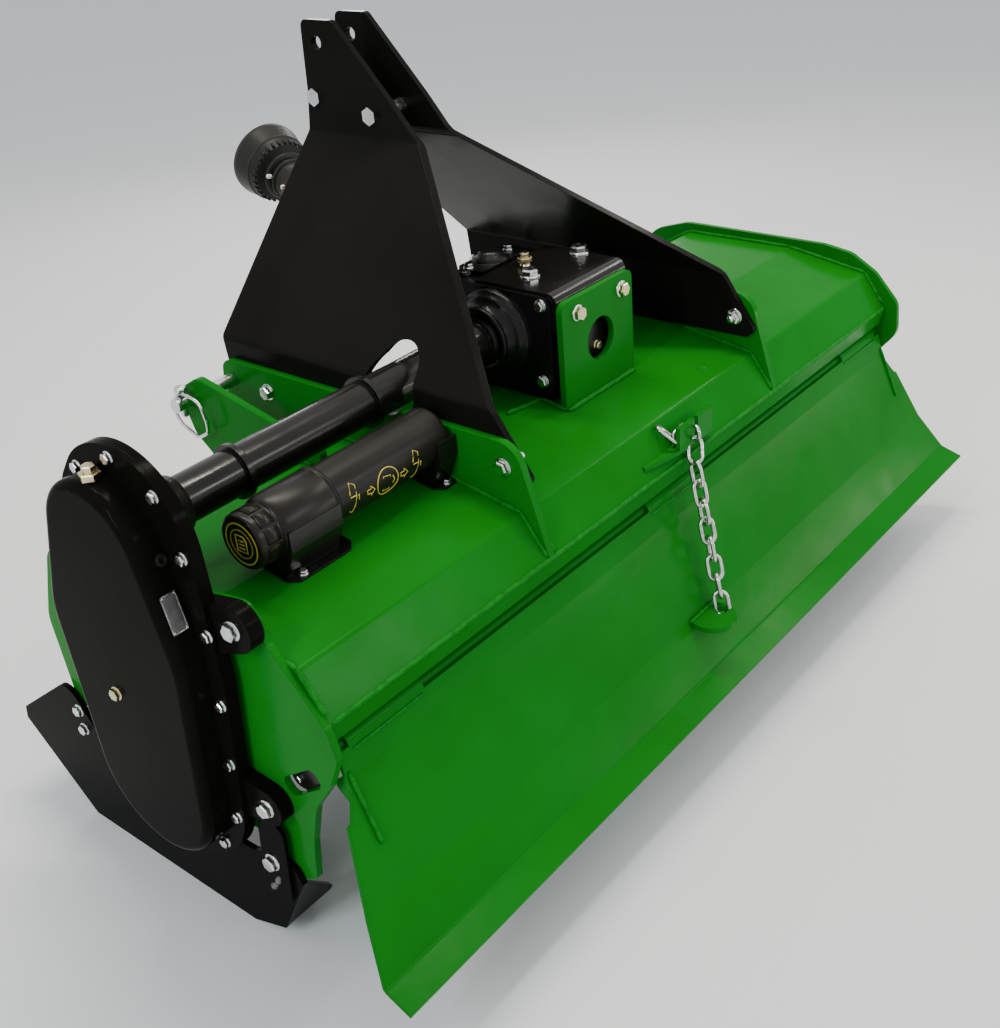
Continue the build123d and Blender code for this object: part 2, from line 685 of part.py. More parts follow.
def guard_front():
    """Inner guard tube, collar, ribbed ring and bell of the tractor half."""
    r, t = guard_front_r, guard_wall
    reach, hub_r = front_hub
    hub_s = front_cross_s - reach
    return turned([
        (r, guard_front_start), (r + t, guard_front_start), (r + t, collar_s - 34), (35, collar_s - 28),
        (35, collar_s), (42, collar_s + 2), (42, collar_s + 8), (54, collar_s + 12), (61.5, ring_s - 2),
        (62.5, ring_s + 4), (69.6, rim_s - 8), (69.6, rim_s), (66.5, rim_s), (66.5, rim_s - 8), (59.5, ring_s + 6),
        (56, ring_s), (38, ring_s - 18), (38, ring_s - 29), (hub_r, ring_s - 30), (hub_r, hub_s + 2), (r, hub_s + 2)])


def front_yoke():
    """Sliding profile, front cross and tractor yoke, inside the bell."""
    reach = front_hub[0]
    end = front_cross_s - reach + 4
    profile = along((profile_start + end) / 2) * Cylinder(profile_r, end - profile_start)
    place = along(front_cross_s)
    inner_fork = place * fork(*front_hub)
    arm = fork_w / 2
    cross = place * (Rot(0, 90, 0) * Cylinder(cross_r - running, 2 * arm))
    cross += place * (Rot(90, 0, 0) * Cylinder(cross_r - running, 2 * arm))
    outer_fork = place * Rot(0, 180, 0) * Rot(0, 0, 90) * fork(75.0, 26.0)
    bore = place * Pos(0, 0, 62) * Cylinder(pto_bore_r, 44)
    return profile + inner_fork + cross + (outer_fork - bore)


hook_t = 6.0
hook_w = 28.0


def driveline_hook():
    """Flat hook that hangs from the front mast spacer and holds the driveline up."""
    y, z = spacer_places[0]
    axis = along(0).z_dir
    s = (y - cross_y) / axis.Y
    rest = along(s).origin
    clear = guard_rear_r + guard_wall + 2 + hook_w / 2 * axis.X / axis.Y
    low = rest.Z - (guard_rear_r + guard_wall + 1 + hook_w / 2 * axis.Z) / axis.Y
    left, right_side = rest.X - clear, rest.X + clear
    rows = [
        (left - hook_t, z + 20), (left, z + 20), (left, low), (right_side, low), (right_side + 12, low + 30),
        (right_side + 18, low + 28), (right_side + 4, low - hook_t), (left - hook_t, low - hook_t)]
    face = Plane.XZ.offset(-(y - hook_w / 2)) * make_face(Polyline(*rows, close=True))
    hook = extrude(face, hook_w, dir=(0, 1, 0))
    return hook - rod(-60, 60, y, z, spacer_tube_r)


# ---------------------------------------------------------------- assembly
pieces = {
    "deck": deck(),
    "hinge_rail": hinge_rail(),
    "end_plate_left": mirrored(end_plate(left_plate_rows)),
    "end_plate_right": end_plate(right_plate_rows),
    "rib_left": mirrored(rib()),
    "rib_right": rib(),
    "ear_left": mirrored(ear()),
    "ear_right": ear(),
    "lower_pin_left": mirrored(lower_pin()),
    "lower_pin_right": lower_pin(),
    "mast_plate_left": mast_plate_left(),
    "mast_plate_right": mast_plate(),
    "mast_spacers": mast_spacers(),
    "driveline_hook": driveline_hook(),
    "gearbox": gearbox(),
    "gearbox_bracket": gearbox_bracket(),
    "gearbox_support": gearbox_support(),
    "input_shaft": input_shaft(),
    "drive_tube": drive_tube(),
    "case_body": case_body(),
    "case_cover": case_cover(),
    "case_lugs": case_lugs(),
    "bearing_hub": bearing_hub(),
    "skid_left": mirrored(skid()),
    "skid_right": skid(),
    "skid_bracket_left": mirrored(skid_bracket()),
    "skid_bracket_right": skid_bracket(),
    "hinge_rod": hinge_rod(),
    "chain_bracket": chain_bracket(),
    "canister": canister(),
    "canister_cap": canister_cap(),
    "canister_feet": canister_feet(),
    "rotor_tube": rotor_tube(),
    "rotor_discs": rotor_discs(),
    "tines_left": tines(-1),
    "tines_right": tines(1),
    "flap": flap(),
    "flap_lug": flap_lug(),
    "flap_chain": chain(),
    "chain_tail": chain_tail(),
    "rear_cross": rear_cross(),
    "guard_rear": guard_rear(),
    "guard_front": guard_front(),
    "front_yoke": front_yoke(),
}

box = Compound([shape for shape in pieces.values()]).bounding_box()
to_origin = Pos(-(box.min.X + box.max.X) / 2, -(box.min.Y + box.max.Y) / 2, -box.min.Z)

os.makedirs("parts", exist_ok=True)
for name, shape in pieces.items():
    export_step(to_origin * shape, "parts/" + name + ".step")
print("origin moved by", to_origin.position)
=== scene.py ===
import json
import math
import random

import bmesh
import bpy
from mathutils import Matrix, Vector


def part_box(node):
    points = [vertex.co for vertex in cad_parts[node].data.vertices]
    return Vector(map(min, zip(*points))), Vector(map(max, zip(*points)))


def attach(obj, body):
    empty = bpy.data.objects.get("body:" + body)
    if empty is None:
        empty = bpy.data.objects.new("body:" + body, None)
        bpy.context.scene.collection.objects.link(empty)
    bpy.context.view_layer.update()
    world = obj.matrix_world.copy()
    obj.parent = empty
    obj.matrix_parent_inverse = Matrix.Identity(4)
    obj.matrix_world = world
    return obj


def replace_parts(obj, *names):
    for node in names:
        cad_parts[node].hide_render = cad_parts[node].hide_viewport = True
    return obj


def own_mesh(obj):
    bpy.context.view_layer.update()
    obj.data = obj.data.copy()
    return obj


# Rotary tiller: finishes, fasteners, welds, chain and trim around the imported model.
# Blender units are metres. Places below are in millimetres of the machine's own frame:
# x from the hood's middle to the operator's right, y from the rotor's axis forward, z from the ground.

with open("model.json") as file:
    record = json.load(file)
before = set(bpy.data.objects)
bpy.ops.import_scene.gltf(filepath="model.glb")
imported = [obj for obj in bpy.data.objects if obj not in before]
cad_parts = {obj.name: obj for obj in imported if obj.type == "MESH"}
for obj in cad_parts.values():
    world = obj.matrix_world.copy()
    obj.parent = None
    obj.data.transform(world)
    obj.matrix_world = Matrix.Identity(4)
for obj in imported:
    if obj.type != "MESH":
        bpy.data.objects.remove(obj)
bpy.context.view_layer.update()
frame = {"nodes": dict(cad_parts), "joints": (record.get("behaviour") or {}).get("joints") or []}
random.seed(7)

MM = 0.001
joints = {joint["name"]: joint for joint in frame["joints"]}
deck_low, deck_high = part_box("deck")
x0 = (deck_low.x + deck_high.x) / 2
y0 = joints["rotor_spin"]["pos_m"][1]
LEFT, RIGHT, REAR, UP = (-1, 0, 0), (1, 0, 0), (0, -1, 0), (0, 0, 1)


def at(x, y, z):
    """A point of the machine in the row frame, in metres."""
    return Vector((x0 + x * MM, y0 + y * MM, z * MM))


def machine(point):
    """A point of the row frame as machine millimetres."""
    return Vector(((point.x - x0) / MM, (point.y - y0) / MM, point.z / MM))


def place(x, y, z, towards=UP, roll=0.0):
    """Matrix that takes millimetres to the row frame, with +Z along towards."""
    turn = Vector(towards).to_track_quat("Z", "Y").to_matrix().to_4x4()
    spin = Matrix.Rotation(math.radians(roll), 4, "Z")
    return Matrix.Translation(at(x, y, z)) @ turn @ spin @ Matrix.Scale(MM, 4)


# ---------------------------------------------------------------- camera, lights, floor
# Camera, solved from the photograph. Its spot is in machine millimetres.
camera_spot = (-1409.2, -1193.3, 1325.7)
camera_right = Vector((0.6292, -0.7731, -0.0804))
camera_up = Vector((0.4326, 0.2624, 0.8625))
camera_back = Vector((-0.6457, -0.5775, 0.4996))
sensor_width, lens = 36.0, 45.69

# Lamps. Spot, aim and size in metres, then watts and tint.
warm, plain, cool = (1.0, 0.94, 0.82), (1.0, 1.0, 1.0), (0.86, 0.95, 1.0)
hood_middle, flap_foot = (0, 0, 0.4), (0, -0.57, 0.25)
lamps = (
    ("lamp_top", (0.3, 0.2, 3.2), hood_middle, (2.2, 0.12), 62, warm),
    ("lamp_left", (-3.0, -0.6, 2.2), hood_middle, (0.09, 1.5), 36, cool),
    ("lamp_rear", (0.8, -3.2, 1.8), hood_middle, (1.6, 0.3), 20, plain),
    ("lamp_right", (2.3, -0.9, 2.4), hood_middle, (1.4, 0.08), 16, warm),
    ("lamp_low", (2.54, -2.95, 0.42), flap_foot, (1.8, 0.07), 12, warm),
    ("lamp_front", (2.3, 2.2, 1.55), hood_middle, (2.0, 0.3), 20, plain),
)
# Light that falls on surfaces from all round, and the white that rays see in its place.
soft_tint, soft_strength = (0.93, 0.96, 1.0, 1), 0.74
white_tint, white_strength = (1, 1, 1, 1), 1.0
floor_reach, floor_tone, floor_rough, floor_specular = 12.0, 0.9, 0.9, 0.1


def look():
    """Camera at the photograph's viewpoint: behind the machine's left end, above it."""
    data = bpy.data.cameras.new("camera")
    data.sensor_fit = "HORIZONTAL"
    data.sensor_width = sensor_width
    data.lens = lens
    camera = bpy.data.objects.new("camera", data)
    bpy.context.scene.collection.objects.link(camera)
    turn = Matrix((camera_right, camera_up, camera_back)).transposed().to_4x4()
    camera.matrix_world = Matrix.Translation(at(*camera_spot)) @ turn
    bpy.context.scene.camera = camera


def lamp(name, spot, aim, size, watts, color):
    data = bpy.data.lights.new(name, "AREA")
    data.shape = "RECTANGLE"
    data.size, data.size_y = size
    data.energy = watts
    data.color = color
    lamp_object = bpy.data.objects.new(name, data)
    bpy.context.scene.collection.objects.link(lamp_object)
    lamp_object.location = spot
    lamp_object.rotation_euler = (Vector(aim) - Vector(spot)).to_track_quat("-Z", "Y").to_euler()


def surround():
    """World that lights softly, and is white to the camera and in reflections."""
    world = bpy.data.worlds.new("world")
    bpy.context.scene.world = world
    world.use_nodes = True
    nodes, links = world.node_tree.nodes, world.node_tree.links
    nodes.clear()
    output = nodes.new("ShaderNodeOutputWorld")
    mix = nodes.new("ShaderNodeMixShader")
    links.new(seen_directly(nodes, links), mix.inputs[0])
    for i, (tint, strength) in enumerate(((soft_tint, soft_strength), (white_tint, white_strength))):
        background = nodes.new("ShaderNodeBackground")
        background.inputs["Color"].default_value = tint
        background.inputs["Strength"].default_value = strength
        links.new(background.outputs[0], mix.inputs[1 + i])
    links.new(mix.outputs[0], output.inputs[0])


def ground():
    """Plain pale floor."""
    mesh = bpy.data.meshes.new("floor")
    reach = floor_reach
    corners = [(-reach, -reach, 0), (reach, -reach, 0), (reach, reach, 0), (-reach, reach, 0)]
    mesh.from_pydata(corners, [], [(0, 1, 2, 3)])
    floor = bpy.data.objects.new("floor", mesh)
    bpy.context.scene.collection.objects.link(floor)
    mesh.materials.append(floor_material())


def studio():
    """Soft lamps, a white surround and a floor."""
    for row in lamps:
        lamp(*row)
    surround()
    ground()


def seen_directly(nodes, links):
    """1 for camera, glossy and transmission rays, 0 for light that falls on a surface."""
    path = nodes.new("ShaderNodeLightPath")
    total = path.outputs["Is Camera Ray"]
    for kind in ("Is Glossy Ray", "Is Transmission Ray"):
        add = nodes.new("ShaderNodeMath")
        add.operation = "MAXIMUM"
        links.new(total, add.inputs[0])
        links.new(path.outputs[kind], add.inputs[1])
        total = add.outputs[0]
    return total


def floor_material():
    paint = bpy.data.materials.new("floor")
    paint.use_nodes = True
    shader = paint.node_tree.nodes["Principled BSDF"]
    shader.inputs["Base Color"].default_value = (floor_tone, floor_tone, floor_tone, 1)
    shader.inputs["Roughness"].default_value = floor_rough
    shader.inputs["Specular IOR Level"].default_value = floor_specular
    return paint


# ---------------------------------------------------------------- materials
# Parts of a noise's range that the two tones and the spread of roughness are drawn over.
tone_band, gloss_band = (0.35, 0.65), (0.3, 0.7)
gloss_patch_share = 2.7
least_rough = 0.02


def finish(name, color, shade, rough, metal=0.0, specular=0.5, ior=1.5, patch=6.0, wear=0.06,
           grain=0.0, grain_size=400.0, ripple=0.0, ripple_size=60.0, edge=0.8):
    """Procedural material.

    color and shade are two tones mixed in soft patches, patch is how many patches a metre holds, wear
    spreads the roughness, grain and ripple are fine and coarse relief in millimetres, and edge is how far
    corners look rounded. A low ior keeps a big black face from mirroring the pale floor.
    """
    paint = bpy.data.materials.new(name)
    paint.use_nodes = True
    nodes, links = paint.node_tree.nodes, paint.node_tree.links
    shader = nodes["Principled BSDF"]
    shader.inputs["Metallic"].default_value = metal
    shader.inputs["Specular IOR Level"].default_value = specular
    shader.inputs["IOR"].default_value = ior
    where = nodes.new("ShaderNodeTexCoord").outputs["Object"]

    def noise(scale, detail):
        texture = nodes.new("ShaderNodeTexNoise")
        texture.inputs["Scale"].default_value = scale
        texture.inputs["Detail"].default_value = detail
        links.new(where, texture.inputs["Vector"])
        return texture.outputs["Fac"]

    tones = nodes.new("ShaderNodeMix")
    tones.data_type = "RGBA"
    tones.inputs[6].default_value = (*color, 1)
    tones.inputs[7].default_value = (*shade, 1)
    spread = nodes.new("ShaderNodeMapRange")
    spread.inputs["From Min"].default_value = tone_band[0]
    spread.inputs["From Max"].default_value = tone_band[1]
    links.new(noise(patch, 3.0), spread.inputs["Value"])
    links.new(spread.outputs["Result"], tones.inputs[0])
    links.new(tones.outputs[2], shader.inputs["Base Color"])

    gloss = nodes.new("ShaderNodeMapRange")
    gloss.inputs["From Min"].default_value = gloss_band[0]
    gloss.inputs["From Max"].default_value = gloss_band[1]
    gloss.inputs["To Min"].default_value = max(rough - wear, least_rough)
    gloss.inputs["To Max"].default_value = rough + wear
    links.new(noise(patch * gloss_patch_share, 5.0), gloss.inputs["Value"])
    links.new(gloss.outputs["Result"], shader.inputs["Roughness"])

    normal = None
    if edge:
        round_edge = nodes.new("ShaderNodeBevel")
        round_edge.samples = 3
        round_edge.inputs["Radius"].default_value = edge * MM
        normal = round_edge.outputs["Normal"]
    for depth, scale, detail in ((ripple, ripple_size, 2.0), (grain, grain_size, 3.0)):
        if depth:
            bump = nodes.new("ShaderNodeBump")
            bump.inputs["Distance"].default_value = depth * MM
            links.new(noise(scale, detail), bump.inputs["Height"])
            if normal:
                links.new(normal, bump.inputs["Normal"])
            normal = bump.outputs["Normal"]
    if normal:
        links.new(normal, shader.inputs["Normal"])
    return paint


GREEN = finish("green_enamel", (0.002, 0.150, 0.006), (0.002, 0.172, 0.009), 0.2, ior=1.12, wear=0.05,
               ripple=0.25, ripple_size=38.0, grain=0.03, grain_size=650.0, edge=1.6)
# Weld beads: their green is the paint's own colour. The lighter green in small patches is painted glints of
# reflected light along the bead.
BEAD = finish("green_weld_bead_painted_glints", (0.002, 0.140, 0.006), (0.004, 0.200, 0.012), 0.3, ior=1.15, patch=120.0,
              grain=0.6, grain_size=300.0, edge=0)
BLACK = finish("black_enamel", (0.0050, 0.0045, 0.0036), (0.0075, 0.0068, 0.0056), 0.2, ior=1.38,
               wear=0.05, ripple=0.15, ripple_size=45.0, grain=0.02, grain_size=700.0, edge=1.2)
PANEL_BLACK = finish("black_panel_enamel", (0.0060, 0.0055, 0.0046), (0.0085, 0.0078, 0.0066), 0.2, ior=1.12,
                     wear=0.05, ripple=0.15, ripple_size=45.0, grain=0.02, grain_size=700.0, edge=1.2)
SIDE_BLACK = finish("black_drive_enamel", (0.0040, 0.0037, 0.0030), (0.0060, 0.0056, 0.0046), 0.16, ior=1.06,
                    wear=0.04, ripple=0.15, ripple_size=45.0, grain=0.02, grain_size=700.0, edge=1.6)
CAST = finish("black_cast", (0.0045, 0.0045, 0.0045), (0.008, 0.008, 0.0075), 0.28, ior=1.3,
              grain=0.35, grain_size=260.0, ripple=0.4, ripple_size=50.0, edge=1.5)
ZINC = finish("zinc", (0.60, 0.61, 0.60), (0.74, 0.75, 0.76), 0.2, metal=1.0, patch=60.0, wear=0.08,
              grain=0.05, grain_size=900.0, edge=0.5)
YELLOW_ZINC = finish("yellow_zinc", (0.72, 0.60, 0.32), (0.62, 0.55, 0.36), 0.24, metal=1.0, patch=80.0,
                     grain=0.05, grain_size=900.0, edge=0.4)
CHAIN = finish("chain_zinc", (0.66, 0.66, 0.66), (0.50, 0.49, 0.47), 0.24, metal=1.0, patch=90.0, wear=0.1,
               grain=0.15, grain_size=500.0, edge=0)
FORGED = finish("dark_forging", (0.03, 0.03, 0.031), (0.05, 0.048, 0.045), 0.42, metal=0.6, patch=30.0,
                grain=0.3, grain_size=300.0)
CANISTER = finish("dark_plastic", (0.0075, 0.006, 0.004), (0.010, 0.0085, 0.006), 0.34, ior=1.3, wear=0.05,
                  grain=0.04, grain_size=500.0, edge=0.8)
GUARD = finish("guard_plastic", (0.010, 0.0098, 0.0085), (0.015, 0.0145, 0.013), 0.42, ior=1.3,
               grain=0.1, grain_size=420.0, edge=0.8)
# Near black with little reflection. The drain plug on the side drive's cover is made in it. On the canister
# bases it is painted shade: a thin sheet where a slot is.
DARK_PLUG_AND_SLOT_SHADE = finish("dark_plug_and_painted_slot_shade", (0.003, 0.003, 0.003), (0.004, 0.004, 0.004), 0.7, specular=0.2, edge=0)
PLATE = finish("rating_plate", (0.15, 0.15, 0.145), (0.22, 0.22, 0.21), 0.35, metal=0.8, patch=120.0,
               edge=0.2)
YELLOW = finish("yellow_print", (0.75, 0.60, 0.05), (0.68, 0.54, 0.05), 0.4, patch=90.0, edge=0)
WELD = finish("dark_weld_bead", (0.05, 0.05, 0.045), (0.16, 0.155, 0.14), 0.45, patch=160.0, grain=0.5,
              grain_size=320.0, edge=0)
DULL_BOLT = finish("oiled_bolt", (0.10, 0.10, 0.10), (0.16, 0.155, 0.15), 0.4, metal=0.9, patch=80.0,
                   edge=0.4)
PALE = finish("pale_plastic", (0.72, 0.72, 0.70), (0.62, 0.62, 0.60), 0.5, edge=0.3)
PINK_ZINC = finish("pink_zinc", (0.62, 0.46, 0.44), (0.54, 0.42, 0.38), 0.35, metal=0.8, patch=120.0,
                   edge=0.3)

node_finish = {
    GREEN: ["hinge_rod", "deck", "hinge_rail", "end_plate_left", "end_plate_right", "rib_left", "rib_right",
            "ear_left", "ear_right", "gearbox_support", "chain_bracket", "flap", "flap_lug"],
    BLACK: ["driveline_hook", "gearbox_bracket", "drive_tube", "canister_feet", "rotor_tube", "rotor_discs",
            "tines_left", "tines_right"],
    PANEL_BLACK: ["mast_plate_left", "mast_plate_right"],
    SIDE_BLACK: ["case_body", "case_cover", "case_lugs", "skid_left", "skid_right", "skid_bracket_left",
                 "skid_bracket_right"],
    CAST: ["gearbox", "bearing_hub"],
    ZINC: ["lower_pin_left", "lower_pin_right", "mast_spacers"],
    CHAIN: ["chain_tail", "flap_chain"],
    FORGED: ["input_shaft", "rear_cross", "front_yoke"],
    CANISTER: ["canister", "canister_cap"],
    GUARD: ["guard_rear", "guard_front"],
}


def dress_nodes():
    for paint, names in node_finish.items():
        for name in names:
            mesh = frame["nodes"][name].data
            mesh.materials.clear()
            mesh.materials.append(paint)


# ---------------------------------------------------------------- mesh making
class Piece:
    """A mesh that gathers many small forms and rides on one body. Sizes are millimetres."""

    def __init__(self, name, body, slot, *paints):
        self.name, self.body, self.slot, self.paints = name, body, slot, paints
        self.mesh = bmesh.new()

    def turned(self, spot, rows, sides=24, paint=0, smooth=True):
        """Surface of revolution about the place's Z. rows: (radius, z) from one end to the other."""
        rings = []
        for radius, z in rows:
            if radius < 1e-6:
                rings.append([self.mesh.verts.new(spot @ Vector((0, 0, z)))])
                continue
            angles = [math.tau * i / sides for i in range(sides)]
            rings.append([self.mesh.verts.new(spot @ Vector((radius * math.cos(a), radius * math.sin(a), z)))
                          for a in angles])
        for low, high in zip(rings, rings[1:]):
            for i in range(sides):
                j = (i + 1) % sides
                corners = [low[i % len(low)], low[j % len(low)], high[j % len(high)], high[i % len(high)]]
                self.face(corners, paint, smooth)

    def face(self, corners, paint=0, smooth=True):
        unique = list(dict.fromkeys(corners))
        if len(unique) < 3:
            return
        face = self.mesh.faces.new(unique)
        face.material_index = paint
        face.smooth = smooth

    def swept(self, path, radius, sides=10, paint=0, closed=False):
        """Round bar along a path of row-frame points. radius: one number or one for each point."""
        count = len(path)
        radii = radius if isinstance(radius, list) else [radius] * count
        rings = []
        side = None
        for i, point in enumerate(path):
            before = path[i - 1] if i or closed else point
            after = path[(i + 1) % count] if i + 1 < count or closed else point
            along = (after - before).normalized()
            if side is None:
                side = along.orthogonal().normalized()
            side = (side - along * side.dot(along)).normalized()
            up = along.cross(side)
            rings.append([self.mesh.verts.new(
                point + (side * math.cos(a) + up * math.sin(a)) * radii[i] * MM)
                for a in (math.tau * k / sides for k in range(sides))])
        pairs = list(zip(rings, rings[1:]))
        if closed:
            pairs.append((rings[-1], rings[0]))
        for low, high in pairs:
            shift = 0
            if closed and low is rings[-1]:
                shift = min(range(sides), key=lambda s: (high[s].co - low[0].co).length)
            for k in range(sides):
                n = (k + 1) % sides
                self.face([low[k], low[n], high[(n + shift) % sides], high[(k + shift) % sides]], paint)
        if not closed:
            self.face(rings[0][::-1], paint)
            self.face(rings[-1], paint)

    def plate(self, spot, outline, thickness, paint=0):
        """Flat plate. outline: (x, y) in the place's own millimetres, z from 0 to thickness."""
        low = [self.mesh.verts.new(spot @ Vector((x, y, 0))) for x, y in outline]
        high = [self.mesh.verts.new(spot @ Vector((x, y, thickness))) for x, y in outline]
        self.face(low[::-1], paint, False)
        self.face(high, paint, False)
        for i in range(len(outline)):
            j = (i + 1) % len(outline)
            self.face([low[i], low[j], high[j], high[i]], paint, False)

    def done(self):
        bmesh.ops.recalc_face_normals(self.mesh, faces=self.mesh.faces)
        mesh = bpy.data.meshes.new(self.name)
        self.mesh.to_mesh(mesh)
        self.mesh.free()
        for paint in self.paints:
            mesh.materials.append(paint)
        piece = bpy.data.objects.new(self.name, mesh)
        bpy.context.scene.collection.objects.link(piece)
        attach(piece, self.body)
        return piece


# A bolt's proportions: shares of its size, and of the head's corner for the head's chamfer and flat top.
washer_thick, washer_reach, hole_reach = 0.18, 1.08, 0.5
corner_reach, head_high = 0.93, 0.66
chamfer, flat_reach = 0.16, 0.82
thread_pitch, thread_root, thread_crest, stud_end, stud_chamfer = 0.16, 0.42, 0.5, 0.36, 0.1
# The head is a little narrower at its foot, and the edges are broken by this many millimetres.
corner_relief = 0.98
edge_break = 0.4


def bolt(piece, x, y, z, towards, size, washer=True, stud=0.0, paint=0, rim=None):
    """Hexagon head on a washer. stud is how far a threaded end stands out of it, rim the washer's paint."""
    spot = place(x, y, z, towards, roll=random.uniform(0, 60))
    base = 0.0
    if washer:
        thick, wide = washer_thick * size, washer_reach * size
        piece.turned(spot, [(hole_reach * size, thick), (wide - edge_break, thick),
                            (wide, thick - edge_break), (wide, 0)], 28, paint if rim is None else rim)
        base = thick
    corner = corner_reach * size
    top = base + head_high * size
    piece.turned(spot, [(corner * corner_relief, base), (corner, base + edge_break),
                        (corner, top - chamfer * corner), (flat_reach * corner, top), (0, top)], 6, paint,
                 smooth=False)
    if stud:
        rows = [(thread_crest * size, top - 0.2)]
        pitch = thread_pitch * size
        for i in range(max(int(stud / pitch), 1)):
            rows.append((thread_root * size, top + (i + 0.5) * pitch))
            rows.append((thread_crest * size, top + (i + 1) * pitch))
        end = top + stud + stud_chamfer * size
        rows += [(stud_end * size, end), (0, end)]
        piece.turned(spot, rows, 18, paint)


# A weld bead: its ripples' length and thin size, how thin its ends are, and how it wanders.
ripple_length, ripple_thin, end_thin, wander_reach = 0.55, 0.88, 0.45, 0.12
size_spread = (0.93, 1.07)
ripples_to_full = 3


def weld(piece, ends, radius):
    """Rippled bead along straight runs between machine points."""
    for start, stop in zip(ends, ends[1:]):
        first, last = Vector(start), Vector(stop)
        length = (last - first).length
        steps = max(int(length / (radius * ripple_length)), 4)
        wander = (last - first).orthogonal().normalized()
        path, radii = [], []
        for i in range(steps + 1):
            t = i / steps
            point = first.lerp(last, t) + wander * random.uniform(-wander_reach, wander_reach) * radius
            path.append(at(*point))
            swell = 1.0 if i % 2 else ripple_thin
            taper = min(1.0, end_thin + (1 - end_thin) * min(t, 1 - t) * steps / ripples_to_full)
            radii.append(radius * swell * taper * random.uniform(*size_spread))
        piece.swept(path, radii, 8)


def arc_points(centre, radius, start, stop, count):
    """Points of an arc in a plane, as (u, v)."""
    return [(centre[0] + radius * math.cos(math.radians(start + (stop - start) * i / count)),
             centre[1] + radius * math.sin(math.radians(start + (stop - start) * i / count)))
            for i in range(count + 1)]


# The most that one corner's arc takes from each side next to it.
most_cut = 0.45


def rounded_loop(points, radius, steps=5):
    """Closed path of machine points with its corners turned into arcs, as row-frame points."""
    points = [Vector(p) for p in points]
    path = []
    for i, corner in enumerate(points):
        before, after = points[i - 1] - corner, points[(i + 1) % len(points)] - corner
        cut = min(radius, before.length * most_cut, after.length * most_cut)
        first, last = corner + before.normalized() * cut, corner + after.normalized() * cut
        for k in range(steps + 1):
            t = k / steps
            path.append(at(*(first * (1 - t) ** 2 + corner * (2 * t * (1 - t)) + last * t ** 2)))
    return path


def sector(piece, spot, inside, outside, low, high, start, stop, steps):
    """Curved block about the place's Z, between two radii, two heights and two angles."""
    rows = []
    for i in range(steps + 1):
        a = math.radians(start + (stop - start) * i / steps)
        u, v = math.cos(a), math.sin(a)
        rows.append([piece.mesh.verts.new(spot @ Vector((r * u, r * v, z)))
                     for r, z in ((inside, low), (outside, low), (outside, high), (inside, high))])
    for one, two in zip(rows, rows[1:]):
        for k in range(4):
            n = (k + 1) % 4
            piece.face([one[k], one[n], two[n], two[k]], 0, k in (1, 3))
    piece.face(rows[0], 0, False)
    piece.face(rows[-1][::-1], 0, False)


def rounded_rectangle(wide, tall, radius, steps=5):
    """Outline about the origin, as (u, v)."""
    u, v = wide / 2 - radius, tall / 2 - radius
    outline = []
    for centre, start in (((u, v), 0), ((-u, v), 90), ((-u, -v), 180), ((u, -v), 270)):
        outline += arc_points(centre, radius, start, start + 90, steps)
    return outline


# ---------------------------------------------------------------- places taken from the model
def low_x(node):
    return machine(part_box(node)[0]).x


def low_y(node):
    return machine(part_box(node)[0]).y


def high_x(node):
    return machine(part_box(node)[1]).x


def top_z(node):
    return machine(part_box(node)[1]).z


half = high_x("end_plate_right")
cover_x = low_x("case_cover")
joint_x = low_x("case_body")
# The flange's lip stands this far out from the joint.
lip = 7
flange_x = joint_x - lip
rotor_z = joints["rotor_spin"]["pos_m"][2] / MM
drive_y, drive_z = -14, 610
rib_side = high_x("rib_right")
# The rib and the mast plate's foot on it, together.
foot_and_rib = 22
mast_inside = rib_side - foot_and_rib
# The gearbox's left face, a little inside the support plate's edge.
box_inset = 6
box_left = low_x("gearbox_support") + box_inset
box_top = top_z("gearbox_bracket")
support_y = low_y("gearbox_support")
# The gearbox's middle in x, and the top of its casting.
box_x, casting_top = 28, 676
# The canister's line and radius.
can_y, can_z, can_r = -101, 572, 39
# The way the hood's upper rear face looks.
hood_slope = (0, -0.1705, 0.985)


# ---------------------------------------------------------------- side drive
# Bolts round the side drive's flange. (y, z)
flange_bolts = [
    (34, 686), (-37, 716), (-108, 687), (-135, 617), (-148, 518), (-142, 416), (-131, 321), (-119, 229),
    (-78, 164), (-10, 133), (62, 150), (112, 205), (124, 280), (130, 370), (128, 470), (112, 560), (82, 640)]
# Ears of the side drive: a bolt in each. (y, z)
ear_bolts = [(-188, 537), (-176, 268), (160, 265), (150, 500)]
flange_bolt_size, ear_bolt_size, level_plug_size = 8, 12, 9
level_plug = (18, 391)
# The cover's rear wall, which carries a small drain plug and the blank plate.
cover_wall = (0, -0.977, 0.213)
wall_plug = (cover_x + 31, -105, 610)
wall_plug_rows = [(8, 0), (8, 2.5), (6.5, 3.5), (3, 3.5), (2.5, 2), (0, 2)]


def side_drive_bolts():
    piece = Piece("side_drive_bolts", "root", "zinc", ZINC, YELLOW_ZINC, DARK_PLUG_AND_SLOT_SHADE)
    for y, z in flange_bolts:
        bolt(piece, flange_x, y, z, LEFT, flange_bolt_size)
    for y, z in ear_bolts:
        bolt(piece, joint_x, y, z, LEFT, ear_bolt_size)
    bolt(piece, cover_x, *level_plug, LEFT, level_plug_size, paint=1)
    piece.turned(place(*wall_plug, cover_wall), wall_plug_rows, 24, 2)
    piece.done()


# Vented filler plug, (radius, z): neck, hexagon and cap. The plugs' spots and scales.
neck_root = -4
neck_rows = [(11, 3), (9, 4), (9, 6)]
hexagon_rows = [(9, 6), (15, 6.2), (15.4, 7), (15.4, 15), (14, 16.5), (8, 16.5)]
vent_rows = [(8, 16.5), (8, 18.5), (9.5, 18.8), (9.5, 24), (8, 26), (0, 26)]
breather_turn = 12
breather_spots = (((cover_x + 22, -20, 688), 0.88), ((26, -8, box_top), 0.75))


